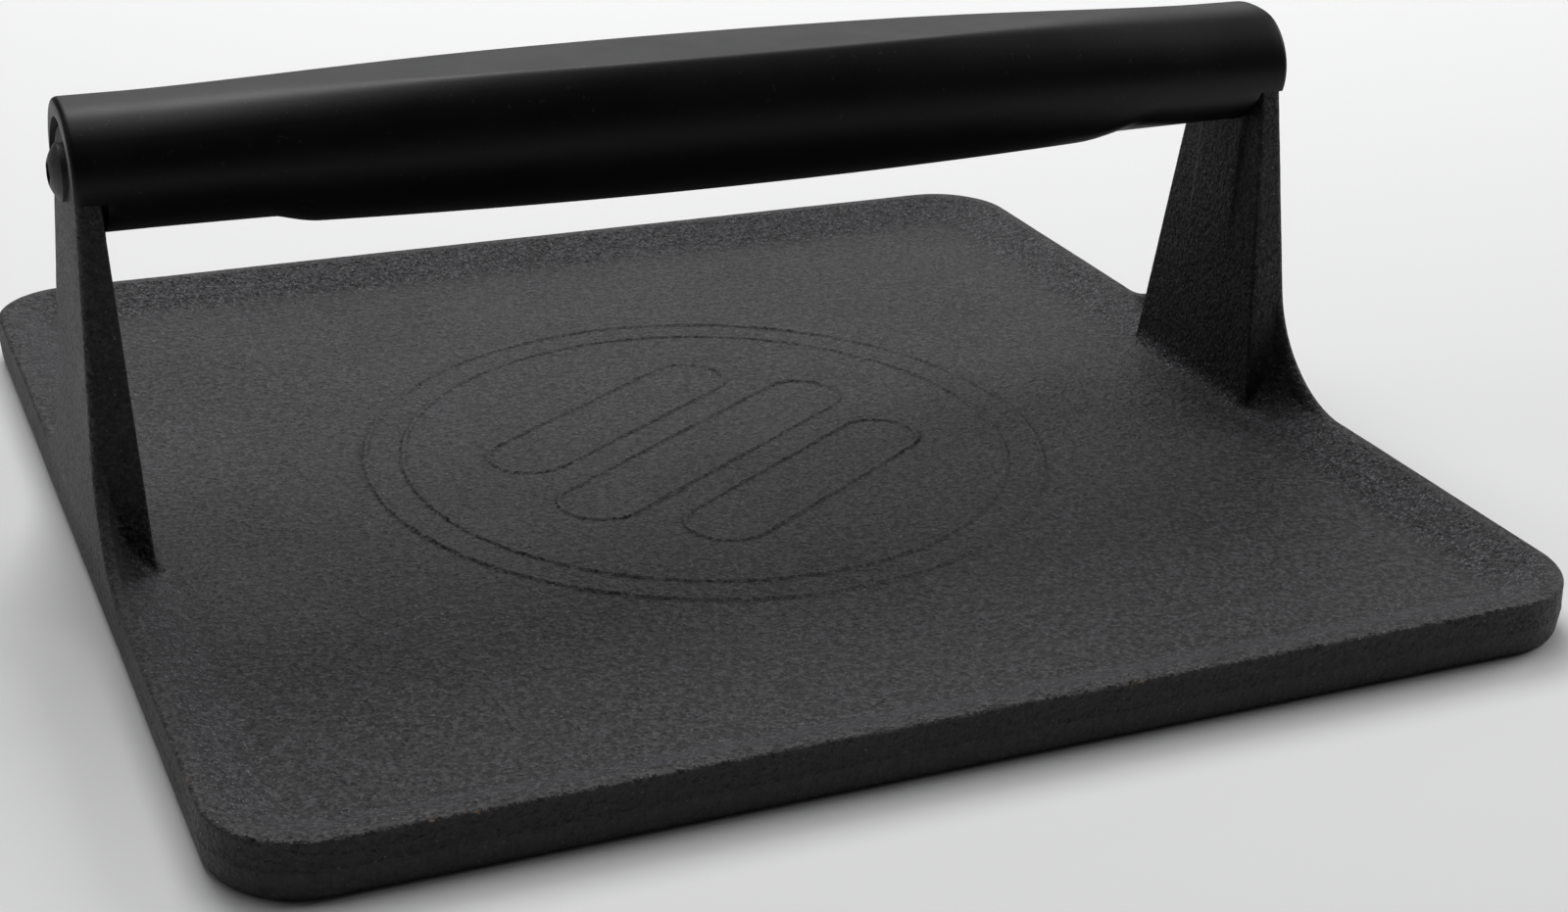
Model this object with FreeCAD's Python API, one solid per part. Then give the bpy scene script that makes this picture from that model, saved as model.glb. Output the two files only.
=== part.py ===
import FreeCAD, Part
import math
import os
from FreeCAD import Vector

# Cast-iron griddle press: a square plate with a low rim, two uprights cast in one
# with it, and a moulded handle held between the uprights by two screws.
# Millimetres, +Z up. The origin is the middle of the cooking face, on the griddle.
# The handle runs along X.

# Plate
PLATE_LENGTH = 254.0       # along X, measured on the parting line
PLATE_DEPTH = 252.0        # along Y, measured on the parting line
PLATE_CORNER_RADIUS = 17.5
PARTING_Z = 5.5            # height of the mould's parting line on the outer face
RIM_HEIGHT = 11.0
FLOOR_Z = 6.5              # top of the tray floor, so also the floor's thickness
LOWER_DRAFT = 0.6          # how far the outer face steps in from parting line to base
UPPER_DRAFT = 0.25         # and from parting line to rim
CREST_WIDTH = 3.0
RIM_SLOPE_WIDTH = 10.0
BASE_EDGE_RADIUS = 1.8
CREST_OUTER_RADIUS = 1.0
CREST_INNER_RADIUS = 1.2
COVE_RADIUS = 8.0          # concave foot of the rim's inner slope
SLOPE_CORNER_LOSS = 0.6    # corner radius lost for each unit down the slope

# Uprights
UPRIGHT_HALF_WIDTH = 22.7  # along Y at rim height, without the flare
UPRIGHT_SIDE_TAPER = 0.157  # half-width lost for each unit of height
OUTER_LEAN = UPPER_DRAFT / (RIM_HEIGHT - PARTING_Z)
INNER_FACE_BASE_X = 116.2  # inner face at the tray floor
INNER_FACE_TOP_X = 118.9   # inner face at the handle's underside
INNER_FACE_TOP_Z = 66.0
TONGUE_ARC_RADIUS = 12.7   # round top of the upright, inside the handle's hood
TONGUE_ARC_Z = 73.5
OUTER_FLARE_RADIUS = 25.0  # flare of the upright into the rim, full over the crest
FLARE_STEPS = ((2.3, 23.0, 11.0), (3.4, 14.0, 10.8), (5.4, 6.0, 9.9))  # inset, radius, foot
INNER_FLARE_RADIUS = 1.5   # at the inner face, which meets the slope nearly square
ROOT_DEPTH = 2.0           # how far the inner face continues below the tray floor
BASE_FILLET_RISE = 2.6     # concave strip along the foot of the inner face
BASE_FILLET_REACH = 2.9
SEAT_PAD_X = 118.2         # face of the raised pad that the handle seats against
SEAT_PAD_HALF_WIDTH = 8.0
SEAT_PAD_FADE_Z = 36.0     # height where the pad dies into the upright's face
SEAT_PAD_FADE_X = 117.5
SEAT_PAD_TOP_SHARE = 0.7   # the pad's top, as a share of the round top's radius

# Handle
HANDLE_AXIS_Z = 78.4
HANDLE_HALF_LENGTH = 124.1
HANDLE_END_HALF_DEPTH = 14.1
HANDLE_MIDDLE_HALF_DEPTH = 15.4
HANDLE_END_RISE = 12.5     # axis to top, at the ends
HANDLE_MIDDLE_RISE = 16.2  # axis to top, in the middle, before the flat is cut
HANDLE_END_DROP = 12.0     # axis to underside, at the ends
HANDLE_MIDDLE_DROP = 12.9
HANDLE_STATIONS = (-1.0, -0.84, -0.66, -0.36, 0.0, 0.36, 0.66, 0.84, 1.0)
FULLNESS_REACH = 0.9       # station where the middle's extra fullness has died away
FULLNESS_POWER = 1.5
FLAT_TOP_Z = 91.3          # thumb flat along the middle of the top
FLAT_CROWN_RADIUS = 12000.0
GRIP_HALF_LENGTH = 81.5    # palm swell, SWELL_SINK below its lowest line
GRIP_DROP = 15.6           # axis to the swell's lowest point
GRIP_END_DROP = 13.2
GRIP_END_SLANT = 46.0      # degrees that the swell's ends lean outwards
GRIP_STATIONS = (-1.0, -0.6, -0.25, 0.0, 0.25, 0.6, 1.0)
SWELL_SINK = 2.0           # how far the swell's top stays below the bar's
SWELL_INSET = 0.3          # how far the swell's sides start inside the bar's
HOOD_EDGE_RADIUS = 1.2
HOOD_LOWER_Z = 75.0        # lower edge of the hoods' walls
SEAT_GAP = 0.05            # between the handle's end face and the seat pad
POCKET_SIDE_GAP = 0.3
POCKET_TOP_GAP = 1.0

# Fasteners: M6 x 18 button-head screws in brass inserts moulded into the handle
SCREW_AXIS_Z = 77.4
SCREW_DIAMETER = 5.9
SCREW_LENGTH = 18.0
SCREW_HEAD_DIAMETER = 10.5
SCREW_HEAD_HEIGHT = 3.3
SCREW_HEAD_WALL = 1.3      # straight edge below the head's dome
SCREW_TIP_CHAMFER = 0.8
SCREW_SOCKET_FLATS = 4.0
SCREW_SOCKET_DEPTH = 2.0
SPOT_FACE_X = 123.3
SPOT_FACE_DIAMETER = 11.6
TONGUE_HOLE_DIAMETER = 6.6
INSERT_DIAMETER = 9.0
INSERT_LENGTH = 14.0
INSERT_BORE = 6.0
INSERT_GROOVE_DEPTH = 0.6
INSERT_GROOVE_WIDTH = 2.0
INSERT_CLEARANCE_DEPTH = 4.0  # hole beyond the insert for the screw's tip

# Relief on the tray floor: two rings round three long rounded bars
RELIEF_HEIGHT = 0.5
RELIEF_SINK = 0.5          # how far the relief's solids reach into the floor
RELIEF_LINE_WIDTH = 1.8
RING_RADII = (69.5, 62.0)
BAR_LENGTHS = (70.0, 86.0, 70.0)
BAR_WIDTH = 17.0
BAR_PITCH = 25.0
BAR_TURN = 32.0            # degrees from X

OVERSHOOT = 5.0            # how far cutting bodies reach past what they cut
SIDES = {"left": -1, "right": 1}


def rounded_outline(length, depth, radius, z):
    """Closed wire of a rounded rectangle centred on the Z axis."""
    half_x = length / 2
    half_y = depth / 2
    turn = radius * (1 - math.sqrt(0.5))
    edges = []
    corners = ((1, 1), (-1, 1), (-1, -1), (1, -1))
    for index, (sx, sy) in enumerate(corners):
        on_x_side = Vector(sx * half_x, sy * (half_y - radius), z)
        on_y_side = Vector(sx * (half_x - radius), sy * half_y, z)
        middle = Vector(sx * (half_x - turn), sy * (half_y - turn), z)
        start, end = (on_x_side, on_y_side) if sx * sy > 0 else (on_y_side, on_x_side)
        edges.append(Part.Arc(start, middle, end).toShape())
        nx, ny = corners[(index + 1) % 4]
        if nx * ny > 0:
            following = Vector(nx * half_x, ny * (half_y - radius), z)
        else:
            following = Vector(nx * (half_x - radius), ny * half_y, z)
        edges.append(Part.LineSegment(end, following).toShape())
    return Part.Wire(edges)


def inset_outline(inset, z):
    """The plate's outline moved inwards by inset, at height z."""
    return rounded_outline(
        PLATE_LENGTH - 2 * inset,
        PLATE_DEPTH - 2 * inset,
        PLATE_CORNER_RADIUS - inset,
        z,
    )


def level_edges(shape, z, smallest_reach=0.0, largest_reach=1000.0):
    """Edges that lie at height z, with their farthest |x| or |y| in a range."""
    found = []
    for edge in shape.Edges:
        box = edge.BoundBox
        reach = max(abs(box.XMin), abs(box.XMax), abs(box.YMin), abs(box.YMax))
        level = abs(box.ZMin - z) < 0.01 and abs(box.ZMax - z) < 0.01
        if level and smallest_reach < reach < largest_reach:
            found.append(edge)
    return found


def make_pan():
    """The plate with its drafted outer face and the tray inside its rim."""
    base = inset_outline(LOWER_DRAFT, 0.0)
    parting = inset_outline(0.0, PARTING_Z)
    rim = inset_outline(UPPER_DRAFT, RIM_HEIGHT)
    lower = Part.makeLoft([base, parting], True, True)
    upper = Part.makeLoft([parting, rim], True, True)
    pan = lower.fuse(upper).removeSplitter()

    crest = UPPER_DRAFT + CREST_WIDTH
    rise = (RIM_HEIGHT - FLOOR_Z) / RIM_SLOPE_WIDTH
    above_rim = 2.0
    floor_inset = crest + RIM_SLOPE_WIDTH
    foot_radius = PLATE_CORNER_RADIUS - crest
    foot = rounded_outline(
        PLATE_LENGTH - 2 * floor_inset,
        PLATE_DEPTH - 2 * floor_inset,
        foot_radius - RIM_SLOPE_WIDTH * SLOPE_CORNER_LOSS,
        FLOOR_Z,
    )
    spread = above_rim / rise
    mouth = rounded_outline(
        PLATE_LENGTH - 2 * (crest - spread),
        PLATE_DEPTH - 2 * (crest - spread),
        foot_radius + spread * SLOPE_CORNER_LOSS,
        RIM_HEIGHT + above_rim,
    )
    tray = Part.makeLoft([foot, mouth], True, True)
    pan = pan.cut(tray)

    pan = pan.makeFillet(COVE_RADIUS, level_edges(pan, FLOOR_Z))
    pan = pan.makeFillet(BASE_EDGE_RADIUS, level_edges(pan, 0.0))
    middle_of_crest = PLATE_LENGTH / 2 - UPPER_DRAFT - CREST_WIDTH / 2
    outer = level_edges(pan, RIM_HEIGHT, middle_of_crest)
    pan = pan.makeFillet(CREST_OUTER_RADIUS, outer)
    inner = level_edges(pan, RIM_HEIGHT, 0.0, middle_of_crest)
    return pan.makeFillet(CREST_INNER_RADIUS, inner)


def side_half_width(z):
    """The upright's half-width on its straight, tapered sides."""
    return UPRIGHT_HALF_WIDTH - (z - RIM_HEIGHT) * UPRIGHT_SIDE_TAPER


def tongue_points(gap=0.0):
    """Where the upright's sides meet its round top, and the top's highest point."""
    angle = math.atan(UPRIGHT_SIDE_TAPER)
    radius = TONGUE_ARC_RADIUS + gap
    side = Vector(0, radius * math.cos(angle), TONGUE_ARC_Z + radius * math.sin(angle))
    return side, Vector(0, 0, TONGUE_ARC_Z + radius)


def upright_outline(flare_radius, foot_z, root_z):
    """Closed wire in the YZ plane: root, flares, tapered sides and round top."""
    angle = math.atan(UPRIGHT_SIDE_TAPER)
    foot_half_width = side_half_width(foot_z)
    centre_y = foot_half_width + flare_radius * (1 - math.sin(angle)) / math.cos(angle)
    centre = Vector(0, centre_y, foot_z + flare_radius)
    flare_top = centre - Vector(0, math.cos(angle), math.sin(angle)) * flare_radius
    flare_foot = Vector(0, centre_y, foot_z)
    middle_angle = (angle + math.pi / 2) / 2
    toward = Vector(0, -math.cos(middle_angle), -math.sin(middle_angle))
    flare_middle = centre + toward * flare_radius
    tongue_side, tongue_top = tongue_points()
    root = Vector(0, centre_y, root_z)

    def mirror(point):
        return Vector(point.x, -point.y, point.z)

    return Part.Wire([
        Part.LineSegment(mirror(root), root).toShape(),
        Part.LineSegment(root, flare_foot).toShape(),
        Part.Arc(flare_foot, flare_middle, flare_top).toShape(),
        Part.LineSegment(flare_top, tongue_side).toShape(),
        Part.Arc(tongue_side, tongue_top, mirror(tongue_side)).toShape(),
        Part.LineSegment(mirror(tongue_side), mirror(flare_top)).toShape(),
        Part.Arc(mirror(flare_top), mirror(flare_middle), mirror(flare_foot)).toShape(),
        Part.LineSegment(mirror(flare_foot), mirror(root)).toShape(),
    ])


def lean_wire(wire, x, pivot_z, slope):
    """Stand a YZ wire at x and lean it towards -X by slope above pivot_z."""
    leaning = wire.copy()
    leaning.rotate(Vector(0, 0, pivot_z), Vector(0, 1, 0), -math.degrees(math.atan(slope)))
    leaning.translate(Vector(x, 0, 0))
    return leaning


def make_upright():
    """The right-hand upright, from inside the rim to its round top."""
    outer_x = PLATE_LENGTH / 2
    outer = upright_outline(OUTER_FLARE_RADIUS, RIM_HEIGHT, PARTING_Z)
    sections = [lean_wire(outer, outer_x, PARTING_Z, OUTER_LEAN)]
    for inset, radius, foot_z in FLARE_STEPS:
        outline = upright_outline(radius, foot_z, PARTING_Z)
        sections.append(lean_wire(outline, outer_x - inset, PARTING_Z, OUTER_LEAN))
    inner = upright_outline(INNER_FLARE_RADIUS, FLOOR_Z, FLOOR_Z - ROOT_DEPTH)
    inner_slope = (INNER_FACE_TOP_X - INNER_FACE_BASE_X) / (INNER_FACE_TOP_Z - FLOOR_Z)
    sections.append(lean_wire(inner, INNER_FACE_BASE_X, FLOOR_Z, -inner_slope))
    upright = Part.makeLoft(sections, True, True)
    return upright.fuse([make_seat_pad(inner_slope), make_base_fillet(inner_slope)])


def slope_height(inset):
    """Height of the rim's inner slope and the cove at its foot."""
    rise = (RIM_HEIGHT - FLOOR_Z) / RIM_SLOPE_WIDTH
    foot = UPPER_DRAFT + CREST_WIDTH + RIM_SLOPE_WIDTH
    half_turn = math.atan(rise) / 2
    cove_end = foot + COVE_RADIUS * math.tan(half_turn)
    cove_start = cove_end - COVE_RADIUS * math.sin(2 * half_turn)
    if inset < cove_start:
        return FLOOR_Z + (foot - inset) * rise
    across = max(0.0, cove_end - inset)
    return FLOOR_Z + COVE_RADIUS - math.sqrt(COVE_RADIUS ** 2 - across ** 2)


def make_base_fillet(inner_slope):
    """Concave strip where the upright's inner face meets the rim's slope."""
    face_inset = PLATE_LENGTH / 2 - INNER_FACE_BASE_X
    top_z = slope_height(face_inset) + BASE_FILLET_RISE
    top = Vector(INNER_FACE_BASE_X + (top_z - FLOOR_Z) * inner_slope, 0, top_z)
    foot_z = slope_height(face_inset + BASE_FILLET_REACH)
    foot = Vector(INNER_FACE_BASE_X - BASE_FILLET_REACH, 0, foot_z)
    across = top.x - foot.x
    down = top.z - foot.z
    radius = (across ** 2 + down ** 2) / (2 * across)
    half_turn = math.asin(down / radius) / 2
    middle = Vector(
        top.x - radius * (1 - math.cos(half_turn)), 0, top.z - radius * math.sin(half_turn)
    )
    buried_foot = Vector(foot.x, 0, FLOOR_Z - ROOT_DEPTH)
    buried_back = Vector(top.x + ROOT_DEPTH, 0, FLOOR_Z - ROOT_DEPTH)
    buried_top = Vector(top.x + ROOT_DEPTH, 0, top.z)
    profile = Part.Wire([
        Part.Arc(top, middle, foot).toShape(),
        Part.LineSegment(foot, buried_foot).toShape(),
        Part.LineSegment(buried_foot, buried_back).toShape(),
        Part.LineSegment(buried_back, buried_top).toShape(),
        Part.LineSegment(buried_top, top).toShape(),
    ])
    half_width = side_half_width(top_z)
    strip = Part.Face(profile).extrude(Vector(0, 2 * half_width, 0))
    strip.translate(Vector(0, -half_width, 0))
    return strip


def make_seat_pad(inner_slope):
    """Raised pad on the upright's inner face that the end of the handle meets."""
    bury = 2.0
    top_z = TONGUE_ARC_Z + TONGUE_ARC_RADIUS * SEAT_PAD_TOP_SHARE
    fade_face = SEAT_PAD_FADE_X
    profile = Part.makePolygon([
        Vector(fade_face, 0, SEAT_PAD_FADE_Z),
        Vector(SEAT_PAD_X, 0, HANDLE_AXIS_Z - HANDLE_END_DROP),
        Vector(SEAT_PAD_X, 0, top_z),
        Vector(SEAT_PAD_X + bury, 0, top_z),
        Vector(fade_face + bury, 0, SEAT_PAD_FADE_Z),
        Vector(fade_face, 0, SEAT_PAD_FADE_Z),
    ])
    pad = Part.Face(profile).extrude(Vector(0, 2 * SEAT_PAD_HALF_WIDTH, 0))
    pad.translate(Vector(0, -SEAT_PAD_HALF_WIDTH, 0))
    return pad


def stadium(length, width, z, height):
    """Solid with a straight middle and round ends, lying along X."""
    half = (length - width) / 2
    radius = width / 2
    wire = Part.Wire([
        Part.LineSegment(Vector(-half, -radius, z), Vector(half, -radius, z)).toShape(),
        Part.Arc(
            Vector(half, -radius, z), Vector(half + radius, 0, z), Vector(half, radius, z)
        ).toShape(),
        Part.LineSegment(Vector(half, radius, z), Vector(-half, radius, z)).toShape(),
        Part.Arc(
            Vector(-half, radius, z), Vector(-half - radius, 0, z), Vector(-half, -radius, z)
        ).toShape(),
    ])
    return Part.Face(wire).extrude(Vector(0, 0, height))


def make_relief():
    """Thin raised lines on the floor: two rings and three rounded bars."""
    base = FLOOR_Z - RELIEF_SINK
    height = RELIEF_HEIGHT + RELIEF_SINK
    half_line = RELIEF_LINE_WIDTH / 2
    lines = []
    for radius in RING_RADII:
        outer = Part.makeCylinder(radius + half_line, height, Vector(0, 0, base))
        inner = Part.makeCylinder(radius - half_line, height, Vector(0, 0, base))
        lines.append(outer.cut(inner))
    for index, length in enumerate(BAR_LENGTHS):
        outer = stadium(length + half_line * 2, BAR_WIDTH + half_line * 2, base, height)
        inner = stadium(length - half_line * 2, BAR_WIDTH - half_line * 2, base, height)
        bar = outer.cut(inner)
        bar.translate(Vector(0, (index - 1) * BAR_PITCH, 0))
        bar.rotate(Vector(0, 0, 0), Vector(0, 0, 1), BAR_TURN)
        lines.append(bar)
    return lines


def mirrored_in_x(shape):
    return shape.mirror(Vector(0, 0, 0), Vector(1, 0, 0))


def screw_cylinder(diameter, from_x, to_x, side):
    """Cylinder on the screws' axis, between two distances from the middle."""
    start = Vector(side * from_x, 0, SCREW_AXIS_Z)
    return Part.makeCylinder(diameter / 2, to_x - from_x, start, Vector(side, 0, 0))


def make_press_plate():
    """The casting: plate, rim, both uprights and the floor's relief."""
    right = make_upright()
    casting = make_pan().fuse([right, mirrored_in_x(right)])
    casting = casting.fuse(make_relief())
    for side in SIDES.values():
        spot_face = screw_cylinder(SPOT_FACE_DIAMETER, SPOT_FACE_X, PLATE_LENGTH / 2, side)
        hole = screw_cylinder(
            TONGUE_HOLE_DIAMETER, INNER_FACE_BASE_X - OVERSHOOT, SPOT_FACE_X + OVERSHOOT, side
        )
        casting = casting.cut(spot_face).cut(hole)
    return casting.removeSplitter()


def handle_swell(station):
    """How much of the handle's middle fullness is left at a station from -1 to 1."""
    return max(0.0, 1 - (station / FULLNESS_REACH) ** 2) ** FULLNESS_POWER


def oval(x, half_depth, rise, drop):
    """Closed wire of two half ellipses that share their width."""
    halves = []
    for height, first, last in ((rise, 0.0, math.pi), (drop, math.pi, 2 * math.pi)):
        centre = Vector(x, 0, HANDLE_AXIS_Z)
        depth_end = centre + Vector(0, half_depth, 0)
        height_end = centre + Vector(0, 0, height)
        if height < half_depth:
            ellipse = Part.Ellipse(depth_end, height_end, centre)
            shape = ellipse.toShape(first, last)
        else:
            ellipse = Part.Ellipse(height_end, centre - Vector(0, half_depth, 0), centre)
            shape = ellipse.toShape(first - math.pi / 2, last - math.pi / 2)
        halves.append(shape)
    return Part.Wire(halves)


def make_handle_bar():
    """The plain oval bar, before its flat, swell and end pockets."""
    sections = []
    for station in HANDLE_STATIONS:
        swell = handle_swell(station)
        half_depth = HANDLE_END_HALF_DEPTH
        half_depth += (HANDLE_MIDDLE_HALF_DEPTH - HANDLE_END_HALF_DEPTH) * swell
        rise = HANDLE_END_RISE + (HANDLE_MIDDLE_RISE - HANDLE_END_RISE) * swell
        drop = HANDLE_END_DROP + (HANDLE_MIDDLE_DROP - HANDLE_END_DROP) * swell
        sections.append(oval(station * HANDLE_HALF_LENGTH, half_depth, rise, drop))
    return Part.makeLoft(sections, True, False)


def make_grip_swell():
    """The palm swell under the bar, with ends that lean outwards as they rise."""
    sections = []
    for station in GRIP_STATIONS:
        x = station * (GRIP_HALF_LENGTH + HANDLE_END_DROP)
        drop = GRIP_DROP - (GRIP_DROP - GRIP_END_DROP) * station ** 2
        swell = handle_swell(x / HANDLE_HALF_LENGTH)
        half_depth = HANDLE_END_HALF_DEPTH - SWELL_INSET
        half_depth += (HANDLE_MIDDLE_HALF_DEPTH - HANDLE_END_HALF_DEPTH) * swell
        sections.append(oval(x, half_depth, HANDLE_END_RISE - SWELL_SINK, drop))
    body = Part.makeLoft(sections, True, False)

    low_z = HANDLE_AXIS_Z - GRIP_DROP - SWELL_SINK
    spread = (HANDLE_AXIS_Z - low_z) * math.tan(math.radians(GRIP_END_SLANT))
    keep = Part.makePolygon([
        Vector(-GRIP_HALF_LENGTH, 0, low_z),
        Vector(GRIP_HALF_LENGTH, 0, low_z),
        Vector(GRIP_HALF_LENGTH + spread, 0, HANDLE_AXIS_Z),
        Vector(-GRIP_HALF_LENGTH - spread, 0, HANDLE_AXIS_Z),
        Vector(-GRIP_HALF_LENGTH, 0, low_z),
    ])
    reach = HANDLE_MIDDLE_HALF_DEPTH + OVERSHOOT
    wedge = Part.Face(keep).extrude(Vector(0, 2 * reach, 0))
    wedge.translate(Vector(0, -reach, 0))
    return body.common(wedge)


def make_top_cut():
    """Everything above the handle's long, slightly crowned thumb flat."""
    reach = HANDLE_HALF_LENGTH + OVERSHOOT
    drop = FLAT_CROWN_RADIUS - math.sqrt(FLAT_CROWN_RADIUS ** 2 - reach ** 2)
    above = HANDLE_AXIS_Z + HANDLE_MIDDLE_RISE + OVERSHOOT
    half_depth = HANDLE_MIDDLE_HALF_DEPTH + OVERSHOOT
    profile = Part.Wire([
        Part.Arc(
            Vector(-reach, 0, FLAT_TOP_Z - drop),
            Vector(0, 0, FLAT_TOP_Z),
            Vector(reach, 0, FLAT_TOP_Z - drop),
        ).toShape(),
        Part.LineSegment(Vector(reach, 0, FLAT_TOP_Z - drop), Vector(reach, 0, above)).toShape(),
        Part.LineSegment(Vector(reach, 0, above), Vector(-reach, 0, above)).toShape(),
        Part.LineSegment(Vector(-reach, 0, above), Vector(-reach, 0, FLAT_TOP_Z - drop)).toShape(),
    ])
    block = Part.Face(profile).extrude(Vector(0, 2 * half_depth, 0))
    block.translate(Vector(0, -half_depth, 0))
    return block


def make_hood_pocket():
    """Right-hand pocket, open at the end and below, that takes the upright's top."""
    inner_x = SEAT_PAD_X - SEAT_GAP
    outer_x = HANDLE_HALF_LENGTH + OVERSHOOT
    tongue_side, tongue_top = tongue_points(POCKET_SIDE_GAP)
    top = Vector(0, 0, tongue_top.z - POCKET_SIDE_GAP + POCKET_TOP_GAP)
    foot_z = HOOD_LOWER_Z - OVERSHOOT
    foot = Vector(0, side_half_width(foot_z) + POCKET_SIDE_GAP, foot_z)

    def at_inner(point, sign):
        return Vector(inner_x, sign * point.y, point.z)

    arch = Part.Wire([
        Part.LineSegment(at_inner(foot, -1), at_inner(foot, 1)).toShape(),
        Part.LineSegment(at_inner(foot, 1), at_inner(tongue_side, 1)).toShape(),
        Part.Arc(at_inner(tongue_side, 1), at_inner(top, 1), at_inner(tongue_side, -1)).toShape(),
        Part.LineSegment(at_inner(tongue_side, -1), at_inner(foot, -1)).toShape(),
    ])
    pocket = Part.Face(arch).extrude(Vector(outer_x - inner_x, 0, 0))
    width = 2 * (HANDLE_MIDDLE_HALF_DEPTH + OVERSHOOT)
    height = HOOD_LOWER_Z - HANDLE_AXIS_Z + GRIP_DROP + OVERSHOOT
    below = Part.makeBox(
        outer_x - inner_x, width, height, Vector(inner_x, -width / 2, HOOD_LOWER_Z - height)
    )
    return pocket.fuse(below)


def make_handle_grip():
    """The moulded handle: oval bar, thumb flat, palm swell and two end hoods."""
    grip = make_handle_bar().cut(make_top_cut())
    ends = [edge for edge in grip.Edges if edge.BoundBox.XLength < 0.01]
    ends = [edge for edge in ends if abs(edge.BoundBox.XMin) > HANDLE_HALF_LENGTH - 0.1]
    grip = grip.makeFillet(HOOD_EDGE_RADIUS, ends)
    grip = grip.fuse(make_grip_swell()).removeSplitter()
    pocket = make_hood_pocket()
    grip = grip.cut(pocket).cut(mirrored_in_x(pocket))
    start = SEAT_PAD_X - SEAT_GAP
    deep = start - INSERT_LENGTH
    for side in SIDES.values():
        seat = make_insert_body(side)
        tip = screw_cylinder(INSERT_BORE, deep - INSERT_CLEARANCE_DEPTH, deep + 1.0, side)
        bore = screw_cylinder(INSERT_BORE, deep - 1.0, start + 1.0, side)
        grip = grip.cut(seat).cut(tip).cut(bore)
    return grip


def make_insert_body(side):
    """Solid outer form of a brass insert, with the groove that locks it in."""
    start = SEAT_PAD_X - SEAT_GAP
    body = screw_cylinder(INSERT_DIAMETER, start - INSERT_LENGTH, start, side)
    groove_middle = start - INSERT_LENGTH / 2
    half_width = INSERT_GROOVE_WIDTH / 2
    ring = screw_cylinder(
        INSERT_DIAMETER + 1.0, groove_middle - half_width, groove_middle + half_width, side
    )
    core_diameter = INSERT_DIAMETER - 2 * INSERT_GROOVE_DEPTH
    core = screw_cylinder(
        core_diameter, groove_middle - INSERT_GROOVE_WIDTH, groove_middle + INSERT_GROOVE_WIDTH, side
    )
    return body.cut(ring.cut(core))


def make_threaded_insert(side):
    start = SEAT_PAD_X - SEAT_GAP
    bore = screw_cylinder(INSERT_BORE, start - INSERT_LENGTH - 1.0, start + 1.0, side)
    return make_insert_body(side).cut(bore)


def make_handle_screw(side):
    """Button-head screw: shank, straight head edge, dome and hexagon socket."""
    shank = screw_cylinder(SCREW_DIAMETER, SPOT_FACE_X - SCREW_LENGTH, SPOT_FACE_X, side)
    tip = [edge for edge in shank.Edges if edge.BoundBox.XLength < 0.01]
    tip = [edge for edge in tip if abs(edge.BoundBox.XMin) < SPOT_FACE_X - 1.0]
    shank = shank.makeChamfer(SCREW_TIP_CHAMFER, tip)
    wall_x = SPOT_FACE_X + SCREW_HEAD_WALL
    wall = screw_cylinder(SCREW_HEAD_DIAMETER, SPOT_FACE_X, wall_x, side)
    dome_height = SCREW_HEAD_HEIGHT - SCREW_HEAD_WALL
    radius = SCREW_HEAD_DIAMETER / 2
    sphere_radius = (radius ** 2 + dome_height ** 2) / (2 * dome_height)
    sphere_x = wall_x + dome_height - sphere_radius
    sphere = Part.makeSphere(sphere_radius, Vector(side * sphere_x, 0, SCREW_AXIS_Z))
    around = SCREW_HEAD_DIAMETER + OVERSHOOT
    dome = sphere.common(screw_cylinder(around, wall_x, wall_x + OVERSHOOT, side))
    corner_radius = SCREW_SOCKET_FLATS / math.sqrt(3)
    head_top = wall_x + dome_height
    points = []
    for corner in range(7):
        angle = math.radians(60 * corner)
        y = corner_radius * math.cos(angle)
        z = SCREW_AXIS_Z + corner_radius * math.sin(angle)
        points.append(Vector(side * (head_top - SCREW_SOCKET_DEPTH), y, z))
    socket = Part.Face(Part.makePolygon(points)).extrude(Vector(side * OVERSHOOT, 0, 0))
    return shank.fuse([wall, dome]).removeSplitter().cut(socket)


def single_solid(shape):
    """The one solid inside a shape, or an error if there are more."""
    if len(shape.Solids) != 1:
        raise ValueError("expected one solid")
    return shape.Solids[0]


def main():
    os.makedirs("parts", exist_ok=True)
    nodes = {"press_plate": make_press_plate(), "handle_grip": make_handle_grip()}
    for name, side in SIDES.items():
        nodes[name + "_handle_screw"] = make_handle_screw(side)
        nodes[name + "_threaded_insert"] = make_threaded_insert(side)
    for name, shape in nodes.items():
        solid = single_solid(shape)
        if not solid.isValid():
            raise ValueError(name + " is not a valid solid")
        solid.exportStep("parts/" + name + ".step")
        print(name, "cm3", round(solid.Volume / 1000, 2))


main()
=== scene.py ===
import math

import bmesh
import bpy
import numpy as np
from mathutils import Matrix, Vector, noise


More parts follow.
